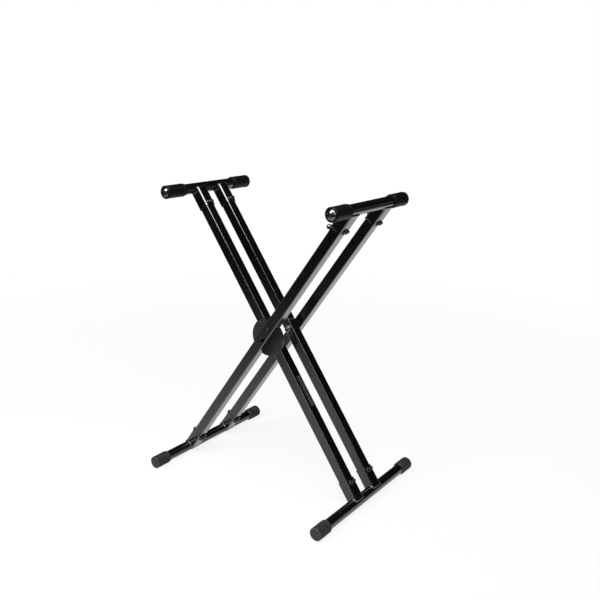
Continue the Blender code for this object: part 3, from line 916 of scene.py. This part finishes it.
# a hexagon with its corners turned off on the free sides
def makeHexagon(name, low, high, chamferLow, chamferHigh):
    corner = pivotBolt["acrossFlats"] / 2 / math.cos(math.pi / 6)
    hexagon = drawOut(name, "Y", 6, [(low, corner), (high, corner)])
    inner = pivotBolt["acrossFlats"] / 2 * pivotBolt["chamfer"]
    clear = corner * pivotBolt["clear"]
    slope = (corner - inner) * pivotBolt["slope"]
    rings = [(low, inner if chamferLow else clear), (low + slope, clear)]
    rings += [(high - slope, clear), (high, inner if chamferHigh else clear)]
    applyTool(hexagon, drawOut("corners", "Y", pivotBolt["cornerSides"], rings), "INTERSECT")
    return hexagon


centre = Matrix.Translation((0, 0, layout["pivotHeight"]))
spin = Matrix.Rotation(leanOf["outer"] + math.radians(pivotBolt["turn"]), 4, "Y")
for row, way in (("front", 1), ("rear", -1)):
    low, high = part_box(row + "_pivot_bolt")
    length = high.y - low.y
    head = makeHexagon("head", 0.0, pivotBolt["headHeight"], True, False)
    dish = drawOut("dish", "Y", pivotBolt["sides"], pivotBolt["dish"])
    applyTool(head, dish, "DIFFERENCE")
    facesOut(head)
    threadLow = length - pivotBolt["threadLength"]
    rings = [(pivotBolt["headHeight"] / 2, pivotBolt["shank"]), (threadLow, pivotBolt["shank"])]
    rings += threadRings(threadLow + pivotBolt["threadGap"], length, pivotBolt["shank"],
                         pivotBolt["pitch"], pivotBolt["threadDepth"])
    shank = drawOut("shank", "Y", pivotBolt["sides"], rings)
    joinInto(head, shank)
    smooth(head, pivotBolt["smooth"])
    start = low.y if way > 0 else high.y
    turn = Matrix.Identity(4) if way > 0 else halfTurn
    place = Matrix.Translation((0, start, 0)) @ centre @ spin @ turn
    putCopy(head, row + "PivotBolt", place, "outer_frame", row + "_pivot_bolt",
            blackZinc)
    throwAway(head)
    low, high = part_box(row + "_pivot_nut")
    pivotNut = makeHexagon("pivotNut", low.y, high.y, True, True)
    drill(pivotNut, "Y", layout["pivotHole"], -pivotBolt["through"], pivotBolt["through"])
    facesOut(pivotNut)
    smooth(pivotNut, pivotBolt["smooth"])
    putCopy(pivotNut, row + "PivotNut", centre @ spin, "outer_frame", row + "_pivot_nut",
            brightZinc)
    throwAway(pivotNut)
print("pivot hardware made")


# locking pin, with the knob that a hand draws

lockPin = {"radius": 0.004, "knob": 0.0048, "knobHeight": 0.0038, "knobStraight": 0.001,
           "knobEdge": 0.0002, "knobSteps": 7, "point": 0.0006, "sides": 40, "smooth": 40}
low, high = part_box("lock_pin")
knobEnd = low.y + lockPin["knobHeight"]
edge = lockPin["knobEdge"]
rings = domeRings(low.y, lockPin["knobHeight"] - lockPin["knobStraight"], lockPin["knob"],
                  lockPin["knobSteps"])
rings += [(knobEnd - edge, lockPin["knob"]), (knobEnd, lockPin["knob"] - edge)]
rings += [(knobEnd, lockPin["radius"]), (high.y - lockPin["point"], lockPin["radius"])]
rings += [(high.y, lockPin["radius"] - lockPin["point"])]
pin = drawOut("pin", "Y", lockPin["sides"], rings)
smooth(pin, lockPin["smooth"])
putCopy(pin, "lockingPin", onBar("outer", layout["pinFromPivot"], 0), "lock", "lock_pin",
        blackZinc)
throwAway(pin)


# ball stud on the outer front leg

ballStud = {"seat": 0.0153, "ballOut": 0.0100, "ball": 0.0072, "ballSteps": 14,
            "ballSpread": 140, "neck": 0.0045, "collar": 0.0055, "collarHeight": 0.0030,
            "collarEdge": 0.0003, "shank": 0.003, "end": -0.009, "point": 0.0008,
            "sides": 48, "smooth": 40}
pole = -ballStud["seat"] - ballStud["ballOut"] - ballStud["ball"]
collarLow = -ballStud["seat"] - ballStud["collarHeight"]
edge = ballStud["collarEdge"]
rings = domeRings(pole, ballStud["ball"], ballStud["ball"], ballStud["ballSteps"],
                  math.radians(ballStud["ballSpread"]))
rings += [(collarLow, ballStud["neck"]), (collarLow, ballStud["collar"] - edge)]
rings += [(collarLow + edge, ballStud["collar"]), (-ballStud["seat"], ballStud["collar"])]
rings += [(-ballStud["seat"], ballStud["shank"])]
rings += [(ballStud["end"] - ballStud["point"], ballStud["shank"])]
rings += [(ballStud["end"], ballStud["shank"] - ballStud["point"])]
ball = drawOut("stud", "X", ballStud["sides"], rings)
smooth(ball, ballStud["smooth"])
putCopy(ball, "ballStud", onLeg("outer", "front", studReach), "outer_frame",
        "outer_leg_ball_stud", dippedVinyl)
throwAway(ball)


# plain plate on the inner front leg

legPlate = {"length": 0.093, "width": 0.0125, "thickness": 0.0008, "fromPivot": 0.1815,
            "offset": 0.002, "x": 0.0157, "corner": 0.0015, "edge": 0.0002}
half = legPlate["length"] / 2
plate = addBlock("plate", legPlate["thickness"], legPlate["width"], -half, half, legPlate["x"])
openEdges(plate, lambda edge: runsAlong(edge, "X"))
bpy.ops.mesh.bevel(offset=legPlate["corner"], segments=4, affect="EDGES")
closeEdit()
openFaces(plate, lambda face: isFacing(face, "X"))
bpy.ops.mesh.bevel(offset=legPlate["edge"], segments=2, affect="EDGES")
closeEdit()
facesOut(plate)
smooth(plate)
keepFlats(plate)
place = onLeg("inner", "front", -legPlate["fromPivot"])
place = place @ Matrix.Translation((0, legPlate["offset"], 0))
putCopy(plate, "plainPlate", place, "inner_frame", "inner_leg_plate",
        brushedSheet)
throwAway(plate)
print("pin, stud and plate made")


# stage, light and camera

# centre, reach and steepness shape the painted pool of light in the floor's glow for mirror rays, and the range
# after lift its painted shade beside the feet
stage = {
    "floor": 16.0, "below": 0.0002, "centre": (0.5, 0.5, 0.0), "reach": 1.42, "steepness": 6.0,
    "ambient": 0.30, "cardSides": 48,
    "lift": {"From Min": 0.9, "From Max": 2.4, "To Min": 0.86, "To Max": 1.0},
    "paintedShadeBesideFeet": {"From Min": 0.25, "From Max": 0.95, "To Min": 0.74, "To Max": 1.0},
    "band": {"From Min": 0.03, "From Max": 0.12, "To Min": 0.25, "To Max": 0.006},
}

bpy.ops.object.select_all(action="DESELECT")
bpy.ops.mesh.primitive_plane_add(size=stage["floor"], location=(0, 0, -stage["below"]))
floor = bpy.context.object
floor.name = "paperFloor"


# the light path, and one for both kinds of ray that carry a mirror image
def lightRays(tree):
    rays = addNode(tree, "ShaderNodeLightPath")
    mirrored = addNode(
        tree, "ShaderNodeMath", {"operation": "MAXIMUM"},
        {0: (rays, "Is Glossy Ray"), 1: (rays, "Is Transmission Ray")})
    return rays, mirrored


# Matt studio paper. It is lifted to white for the eye and for mirror rays, and the object's
# shadow stays on it. For the eye the lift is clear and lets the white room through, so that a
# foot that folds below the floor still shows. For mirror rays its glow is painted light: a
# painted pool of light that falls off away from the lamp, and painted shade beside the feet.
paper, tree, shader, where = newMaterial("studioPaper")
tree.nodes.remove(shader)
rays, mirrored = lightRays(tree)
seen = addNode(
    tree, "ShaderNodeMath", {"operation": "MAXIMUM"},
    {0: (rays, "Is Camera Ray"), 1: (mirrored, 0)})
fromStand = addNode(
    tree, "ShaderNodeVectorMath", {"operation": "LENGTH"}, {0: (where, "Object")})
whole = addNode(tree, "ShaderNodeMapRange", stage["lift"], {"Value": (fromStand, "Value")})
lift = addNode(tree, "ShaderNodeMath", {"operation": "MULTIPLY"}, {0: (seen, 0), 1: (whole, 0)})
# the mirror rays' painted pool of light, brightest over the lamp's spot and falling off away from it
offset = addNode(
    tree, "ShaderNodeVectorMath", {"operation": "SUBTRACT", 1: stage["centre"]},
    {0: (where, "Object")})
fromLamp = addNode(tree, "ShaderNodeVectorMath", {"operation": "LENGTH"}, {0: (offset, 0)})
share = addNode(
    tree, "ShaderNodeMath", {"operation": "DIVIDE", 1: stage["reach"]}, {0: (fromLamp, "Value")})
steep = addNode(
    tree, "ShaderNodeMath", {"operation": "POWER", 1: stage["steepness"]}, {0: (share, 0)})
more = addNode(tree, "ShaderNodeMath", {"operation": "ADD", 1: 1.0}, {0: (steep, 0)})
paintedLightPool = addNode(tree, "ShaderNodeMath", {"operation": "DIVIDE", 0: 1.0}, {1: (more, 0)})
# painted shade in the floor's glow beside the feet
paintedShadeBesideFeet = addNode(tree, "ShaderNodeMapRange", stage["paintedShadeBesideFeet"], {"Value": (fromStand, "Value")})
shine = addNode(
    tree, "ShaderNodeMath", {"operation": "MULTIPLY"}, {0: (paintedLightPool, 0), 1: (paintedShadeBesideFeet, 0)})
level = addNode(
    tree, "ShaderNodeMath", {"operation": "MAXIMUM"}, {0: (shine, 0), 1: (rays, "Is Camera Ray")})
glow = addNode(
    tree, "ShaderNodeEmission", {"Color": colour("#ffffff")}, {"Strength": (level, 0)})
clear = addNode(tree, "ShaderNodeBsdfTransparent")
bright = addNode(
    tree, "ShaderNodeMixShader", None, {0: (rays, "Is Camera Ray"), 1: (glow, 0), 2: (clear, 0)})
matt = addNode(tree, "ShaderNodeBsdfDiffuse", {"Color": colour("#e9e9e8")})
both = addNode(
    tree, "ShaderNodeMixShader", None, {0: (lift, 0), 1: (matt, 0), 2: (bright, 0)})
tree.links.new(both.outputs[0], tree.nodes["Material Output"].inputs["Surface"])
floor.data.materials.append(paper)

# white room behind the paper; mirror rays see a pale band at the horizon under a dark ceiling
world = bpy.data.worlds.new("studio")
bpy.context.scene.world = world
world.use_nodes = True
tree = world.node_tree
tree.nodes.clear()
where = addNode(tree, "ShaderNodeTexCoord")
split = addNode(tree, "ShaderNodeSeparateXYZ", None, {0: (where, "Generated")})
band = addNode(tree, "ShaderNodeMapRange", stage["band"], {"Value": (split, "Z")})
rays, mirrored = lightRays(tree)
mirrorLevel = addNode(
    tree, "ShaderNodeMix", {"data_type": "FLOAT", 2: stage["ambient"]},
    {0: (mirrored, 0), 3: (band, 0)})
eyeLevel = addNode(
    tree, "ShaderNodeMix", {"data_type": "FLOAT", 3: 1.0},
    {0: (rays, "Is Camera Ray"), 2: (mirrorLevel, 0)})
sky = addNode(
    tree, "ShaderNodeBackground", {"Color": colour("#ffffff")}, {"Strength": (eyeLevel, 0)})
addNode(tree, "ShaderNodeOutputWorld", None, {"Surface": (sky, 0)})

# round softboxes, in metres and watts, which reflections don't see
lamps = {
    "overheadSoftbox": {"place": (0.45, -0.75, 2.7), "aim": (0.0, 0.0, 0.4), "size": 1.8,
                        "power": 62},
    "frontFill": {"place": (-1.2, -2.6, 1.9), "aim": (0.0, 0.0, 0.4), "size": 1.0, "power": 60},
}
for name, settings in lamps.items():
    lamp = bpy.data.lights.new(name, "AREA")
    lamp.shape = "DISK"
    lamp.size = settings["size"]
    lamp.energy = settings["power"]
    holder = bpy.data.objects.new(name, lamp)
    bpy.context.collection.objects.link(holder)
    holder.location = settings["place"]
    aim = Vector(settings["aim"]) - Vector(settings["place"])
    holder.rotation_euler = aim.to_track_quat("-Z", "Y").to_euler()
    holder.visible_glossy = False

# the lit faces of softboxes, which only reflections see
cards = {
    "overheadCard": {"place": (0.50, -0.50, 2.6), "aim": (0.0, -0.2, 0.8), "width": 2.1,
                     "height": 1.8, "strength": 6.5},
    "frontCard": {"place": (-0.10, -1.55, 2.3), "aim": (0.1, -0.15, 0.8), "width": 1.6,
                  "height": 1.6, "strength": 9},
    "sideCard": {"place": (1.98, -0.97, 1.95), "aim": (0.0, 0.0, 0.5), "width": 1.2,
                 "height": 1.7, "strength": 3},
}
for name, settings in cards.items():
    bpy.ops.object.select_all(action="DESELECT")
    bpy.ops.mesh.primitive_circle_add(
        vertices=stage["cardSides"], radius=0.5, fill_type="NGON")
    card = bpy.context.object
    card.name = name
    card.scale = (settings["width"], settings["height"], 1)
    card.location = settings["place"]
    aim = Vector(settings["aim"]) - Vector(settings["place"])
    card.rotation_euler = aim.to_track_quat("Z", "Y").to_euler()
    card.visible_camera = False
    card.visible_diffuse = False
    card.visible_shadow = False
    card.visible_transmission = False
    material = bpy.data.materials.new(name)
    material.use_nodes = True
    tree = material.node_tree
    tree.nodes.clear()
    shine = addNode(
        tree, "ShaderNodeEmission",
        {"Color": colour("#ffffff"), "Strength": settings["strength"]})
    addNode(tree, "ShaderNodeOutputMaterial", None, {"Surface": (shine, 0)})
    card.data.materials.append(material)

# the camera stands where the photograph's did; focal and frame are in pixels, sensor in mm
view = {"azimuth": 36.941, "elevation": 16.449, "roll": 0.639,
        "place": (1.236954, -1.558385, 1.121786), "focal": 729.697, "frame": 600,
        "sensor": 36, "near": 0.05, "far": 50}

turn = math.radians(view["azimuth"])
rise = math.radians(view["elevation"])
back = Vector((math.sin(turn) * math.cos(rise), -math.cos(turn) * math.cos(rise), math.sin(rise)))
right = (-back).cross(Vector((0, 0, 1))).normalized()
upward = right.cross(-back)
roll = math.radians(view["roll"])
eyeRight = right * math.cos(roll) + upward * math.sin(roll)
eyeUp = upward * math.cos(roll) - right * math.sin(roll)
camera = bpy.data.cameras.new("camera")
camera.sensor_fit = "HORIZONTAL"
camera.sensor_width = view["sensor"]
camera.lens = view["focal"] * view["sensor"] / view["frame"]
camera.clip_start = view["near"]
camera.clip_end = view["far"]
eye = bpy.data.objects.new("camera", camera)
bpy.context.collection.objects.link(eye)
axes = Matrix((eyeRight, eyeUp, back)).transposed().to_4x4()
eye.matrix_world = Matrix.Translation(view["place"]) @ axes
bpy.context.scene.camera = eye
bpy.context.scene.view_settings.view_transform = "Standard"
print("stage, light and camera set")
